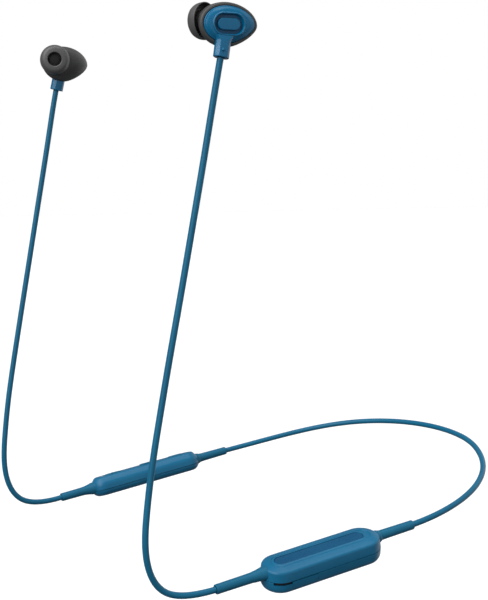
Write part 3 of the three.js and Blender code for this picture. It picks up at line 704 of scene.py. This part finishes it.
def build_boxes():
    def add(form, name, place, material, nodes, body="neckband"):
        dress(as_object(form, name, place), material, body, nodes)

    add(battery_top(), "battery_top", box_left, "shell_blue", ["battery_top_shell"])
    add(battery_bottom(), "battery_bottom", box_left, "shell_blue", ["battery_bottom_shell"])
    # The notch's black strip is painted shade, where the notch's back lies in shadow.
    add(painted_notch_shade(), "notch_painted_shade", box_left, "chip_black", [])
    add(inlay(), "battery_plate", box_left, "inlay_blue", ["battery_inlay"])
    add(port_door(), "port_flap", box_left, "shell_blue", ["usb_cover"], "port_door")
    add(remote_top(), "remote_top", box_right, "shell_blue", ["remote_top_shell"])
    add(remote_bottom(), "remote_bottom", box_right, "shell_blue", ["remote_bottom_shell"])
    for name, flare in FLARES.items():
        box, place = (BATTERY, box_left) if "battery" in name else (REMOTE, box_right)
        end = -1 if "front" in name else 1
        add(sleeve(box, end, flare), name + "_relief", place, "sleeve_blue", [name + "_sleeve"])
    add(status_light(), "light_window", box_right, "lens", ["status_light"])
    for name, size in BUTTONS.items():
        add(button(name, **size), name + "_cap", box_right, "sleeve_blue", [name + "_button"], name)


# ---------- earbuds ----------

ANGLES = full_turn(128)
QUARTER_ARC = 0.5523  # a cubic's handle for a quarter of a circle of radius 1


def bezier(a, b, c, d, steps=40):
    """Points along a cubic from a to just before d."""
    t = np.linspace(0, 1, steps, endpoint=False)[:, None]
    a, b, c, d = (np.array(p, float) for p in (a, b, c, d))
    return a * (1 - t) ** 3 + 3 * b * t * (1 - t) ** 2 + 3 * c * t ** 2 * (1 - t) + d * t ** 3


def egg_curve(inset):
    """The bud's outline, blunt in front and pointed at the rear, drawn in from its rim."""
    k = QUARTER_ARC
    front, rear, half = (EGG[key] - inset for key in ("front", "rear", "half"))
    return np.vstack([
        bezier((rear, 0), (rear, 0.5 * half), (k * rear, half), (0, half)),
        bezier((0, half), (-k * front, half), (-front, k * half), (-front, 0)),
        bezier((-front, 0), (-front, -k * half), (-k * front, -half), (0, -half)),
        bezier((0, -half), (0.35 * rear, -half), (rear, -0.4 * half), (rear, 0)),
    ])


def egg(inset, x):
    """The bud's outline drawn in from its rim, one point for each angle."""
    curve = egg_curve(inset)
    angle = np.mod(np.arctan2(curve[:, 1], curve[:, 0]), 2 * math.pi)
    order = np.argsort(angle)
    reach = np.interp(ANGLES, angle[order], np.hypot(*curve.T)[order], period=2 * math.pi)
    return [Vector((x, r * math.cos(a), r * math.sin(a))) for r, a in zip(reach, ANGLES)]


def racetrack(grow, x, half_length=RING["half_length"], half_width=RING["half_width"]):
    """A stadium round the ring's centre, one point for each angle."""
    width = half_width + grow
    straight = half_length - half_width
    points = []
    for a in ANGLES:
        c, s = math.cos(a), math.sin(a)
        reach = width / max(abs(s), 1e-6)
        if reach * abs(c) > straight:
            reach = straight * abs(c) + math.sqrt(width ** 2 - (straight * s) ** 2)
        points.append(Vector((x, RING["y"] + reach * c, reach * s)))
    return points


def mixed(a, b, t, x):
    """An outline part of the way from a to b, laid flat at x."""
    between = [p.lerp(q, t) for p, q in zip(a, b)]
    return [Vector((x, p.y, p.z)) for p in between]


# Both places carry +Y along their axis: up the stem, and out along the nozzle.
stem_end, stem_top = Vector(STEM["end"]), Vector(STEM["top"])
on_stem = (Matrix.Translation(stem_end)
           @ Vector((0, 1, 0)).rotation_difference(stem_top - stem_end).to_matrix().to_4x4())
nozzle_origin = Vector(NOZZLE["origin"])
inward = rotation(NOZZLE["yaw"], "Z") @ Vector((0, 1, 0))
across = Vector((0, 0, 1)).cross(inward) * -1
on_nozzle = Matrix.Translation(nozzle_origin) @ rotation(NOZZLE["yaw"], "Z")


def nozzle_ring(like, depth, radius):
    """A circle about the nozzle's axis, with a point for each point of another outline."""
    points = []
    for p in like:
        offset = p - nozzle_origin
        angle = math.atan2(offset.z, offset.dot(across))
        points.append(nozzle_origin + inward * depth + across * radius * math.cos(angle)
                      + Vector((0, 0, radius * math.sin(angle))))
    return points


def dome(rim, depth, radius, steps=18):
    """Outlines that curve over from the rim to a circle round the nozzle."""
    outlines = []
    for angle in np.linspace(0, math.pi / 2, steps):
        outline = []
        for p, target in zip(rim, nozzle_ring(rim, depth, radius)):
            reach = target - p
            axial = reach.dot(inward)
            radial = reach - inward * axial
            outline.append(p + inward * axial * math.sin(angle) + radial * (1 - math.cos(angle)))
        outlines.append(outline)
    return outlines


def stem_form(grow=0.0, below=0.0):
    """The stem: a rectangle with cut corners, swept along its axis up into the cover.

    grow widens it all round and below lengthens it past its end, for cutting room out of the housing.
    level goes from 0, square to the axis, to 1, flat, where the stem meets the cover.
    """
    axis = (stem_top - stem_end).normalized()

    def outline(centre, flare, shrink, level=0.0):
        w = STEM["half_width"] + flare + grow - shrink
        d = STEM["half_depth"] - flare / 4 + grow - shrink
        cut = STEM["bevel"] * (1 - 0.45 * level)
        corners = [(d, w - cut), (d - cut, w), (cut - d, w), (-d, w - cut),
                   (-d, cut - w), (cut - d, -w), (d - cut, -w), (d, cut - w)]
        loop = rounded([(*corner, 0.12) for corner in corners], 3)
        return [centre + Vector((x, y, -(1 - level) * (axis.x * x + axis.y * y) / axis.z))
                for x, y in loop]

    low = stem_end - axis * below
    stations = [(low, 0, 0.14), (low + axis * 0.04, 0, 0.06), (low + axis * 0.12, 0, 0.015),
                (low + axis * 0.25, 0, 0)]
    first = STEM["flare_from"]
    for t in (0.2, 0.4, *np.linspace(first, 1, 8)):
        bend = max(t - first, 0) / (1 - first)
        stations.append((stem_end.lerp(stem_top, t), 1.35 * STEM["flare"] * bend ** 1.4, 0, bend))
    return Form().loft([outline(*s) for s in stations])


def stem_hole():
    """What is cut from the stem's end to seat the bush."""
    r, depth = BUSH_HOLE["radius"], BUSH_HOLE["depth"]
    return turned([(r + 0.12, -1), (r + 0.12, 0), (r, 0.1), (r, depth)], 48, closed=False).turn(on_stem)


def raised_dot():
    """The dot that tells the left stem by touch."""
    r = DOT["radius"]
    profile = [(0.02, r)] + [(r * math.sin(a), r * math.cos(a)) for a in np.linspace(0.15, 1.8, 9)]
    return turned(profile, 32, closed=False).turn(Matrix.Translation(DOT["centre"]) @ rotation(-90, "Z"))


def back_cover(name, place, tactile_dot):
    """The cover: a rolled edge, a slope up to the ring, the ring's wall and the groove inside it."""
    edge = [egg(*e) for e in [(1.22, 0), (1.22, 1.0), (1.27, 1.2), (1.38, 1.33), (1.55, 1.38)]]
    lip, floor = RING["lip"], RING["floor"]
    crest = racetrack(0, lip)
    slope = smooth([(0.04, 1.42), (0.25, 1.74), (0.5, 2.03), (0.75, 2.2), (0.92, 2.28)], 4)
    outlines = edge + [mixed(edge[-1], crest, share, x) for share, x in slope]
    outlines += [racetrack(grow, x) for grow, x in (
        (0.3, 2.36), (0.24, 2.46), (0.16, lip - 0.06), (0.06, lip + 0.03), (-0.06, lip + 0.06),
        (-0.2, lip + 0.02), (-0.3, lip - 0.12), (-0.38, lip - 0.4), (-0.46, floor + 0.15),
        (-0.56, floor + 0.03), (-0.75, floor))]
    cover = as_object(Form().loft(outlines), name, place)
    combine(cover, as_object(stem_form(), "stem", place), "UNION")
    combine(cover, as_object(stem_hole(), "hole", place), "DIFFERENCE")
    if tactile_dot:
        combine(cover, as_object(raised_dot(), "dot", place), "UNION")
    return cover


def painted_groove_shade():
    """A darker blue track on the groove's floor round the plate: painted shade for the shadow deep in the
    groove.
    """
    x, long, wide = RING["floor"], PLATE["half_length"], PLATE["half_width"]
    bottom, top = x - 0.2, x + 0.07
    outlines = [racetrack(-0.45, bottom), racetrack(-0.45, top), racetrack(0.01, top, long, wide),
                racetrack(0.01, bottom, long, wide)]
    return Form().loft(outlines, closed=True)


def accent_plate():
    """The raised oblong inside the groove."""
    long, wide, top = PLATE["half_length"], PLATE["half_width"], PLATE["top"]
    outlines = [racetrack(grow, x, long, wide) for grow, x in (
        (0, RING["floor"] + 0.02), (0, top - 0.2), (-0.03, top - 0.1), (-0.1, top - 0.03), (-0.22, top),
        (-0.6, top + 0.02), (-1.2, top + 0.03))]
    return Form().loft(outlines)


def housing(name, place):
    """A shell: rim, dome and nozzle outside, then the bore and the hollow inside."""
    base, end = NOZZLE["base"], NOZZLE["end"]
    radius, bore, lip, lip_at = (NOZZLE[k] for k in ("radius", "bore", "lip", "lip_at"))
    rim = [(1.15, 0.5), (1.12, 0.9), (1.02, 1.0), (0.85, 1.03), (0.6, 0.98), (0.3, 0.8), (0.1, 0.5),
           (0.02, 0.25)]
    outlines = [egg(*r) for r in rim]
    shell = egg(0, 0)
    outlines += dome(shell, base, NOZZLE["base_radius"])
    neck = [(base, radius + 0.35), (base + 0.12, radius + 0.08), (base + 0.4, radius),
            (lip_at - 0.15, radius), (lip_at - 0.02, radius + 0.06), (lip_at, lip - 0.06),
            (lip_at + 0.08, lip), (lip_at + 0.3, lip), (end - 0.15, radius + 0.05),
            (end - 0.04, radius - 0.02), (end, radius - 0.12), (end, bore + 0.12),
            (end - 0.04, bore + 0.03), (end - 0.15, bore), (NOZZLE["hollow_to"], bore)]
    outlines += [nozzle_ring(shell, depth, r) for depth, r in neck]
    outlines += reversed(dome(egg(1.4, -GAP), NOZZLE["hollow_to"], NOZZLE["hollow_radius"], 8))
    outlines.append(egg(1.2, 0))
    body = as_object(Form().loft(outlines, closed=True), name, place)
    combine(body, as_object(stem_form(0.12, 2), "notch", place), "DIFFERENCE")
    return body


def nozzle_grille():
    """A fine domed mesh screen over the nozzle's mouth."""
    end, bore = NOZZLE["end"], NOZZLE["bore"]
    profile = [(0.05, end - 0.5), (bore - 0.05, end - 0.5), (bore - 0.05, end - 0.05),
               (2.02, end + 0.01), (2.04, end + 0.05), (1.98, end + 0.1), (1.7, end + 0.15),
               (1.2, end + 0.2), (0.6, end + 0.23), (0.05, end + 0.24)]
    return turned(profile, 48).turn(on_nozzle)


def ear_tip():
    """A silicone dome round a core tube, open at the back between the two."""
    bore, radius, back = TIP["bore"], TIP["radius"], TIP["back"]
    profile = rounded([
        (bore, back, 0.15), (bore, 7.75, 0.2), (3.0, 8.0, 0.15), (4.75, 7.75, 0.9), (5.85, 6.2, 1.2),
        (radius, back, 0.2), (5.65, back, 0.15), (5.45, 4.9, 0.6), (4.95, 6.0, 0.6), (3.6, 6.6, 0.4),
        (3.4, 6.1, 0.3), (3.4, back, 0.15)], 7)
    return turned(profile).turn(on_nozzle)


def bush():
    """The collar that grips the cord in the stem's end."""
    profile = [(1.12, 0.1), (1.25, 0.04), (1.4, 0.1), (1.44, 0.25), (1.44, 2.3), (1.12, 2.3)]
    return turned(profile, 48).turn(on_stem)


def build_bud(side, place, tactile_dot):
    def add(form, name, material, nodes, body="neckband"):
        dress(as_object(form, side + name, place), material, body, [side + node for node in nodes])

    cover = back_cover(side + "_cover", place, tactile_dot)
    dress(cover, "cover_blue", "neckband", [side + "_back_cover"])
    dress(housing(side + "_shell", place), "dark_grey", "neckband", [side + "_housing"])
    add(accent_plate(), "_plate", "cover_blue", ["_accent_plate"])
    # The track is painted shade: the inlay's darker blue laid in the groove, where the groove lies in
    # shadow.
    add(painted_groove_shade(), "_groove_shade", "inlay_blue", [])
    add(nozzle_grille(), "_screen", "chip_black", ["_nozzle_grille"])
    add(bush(), "_grommet", "sleeve_blue", ["_cord_bush"])
    add(ear_tip(), "_silicone_tip", "silicone", ["_ear_tip"], side + "_tip")


def paint_cad_nodes():
    """Gives the CAD nodes that stay in view, the inner pieces, their own materials."""
    slots = {s["node"]: s["material_slot"] for s in frame["record"]["subparts"]}
    for name, node in frame["nodes"].items():
        if not node.hide_render:
            node.data.materials.clear()
            node.data.materials.append(MATERIALS[slots[name]])


build_boxes()
build_bud("left", bud_left, True)
build_bud("right", bud_right, False)
paint_cad_nodes()
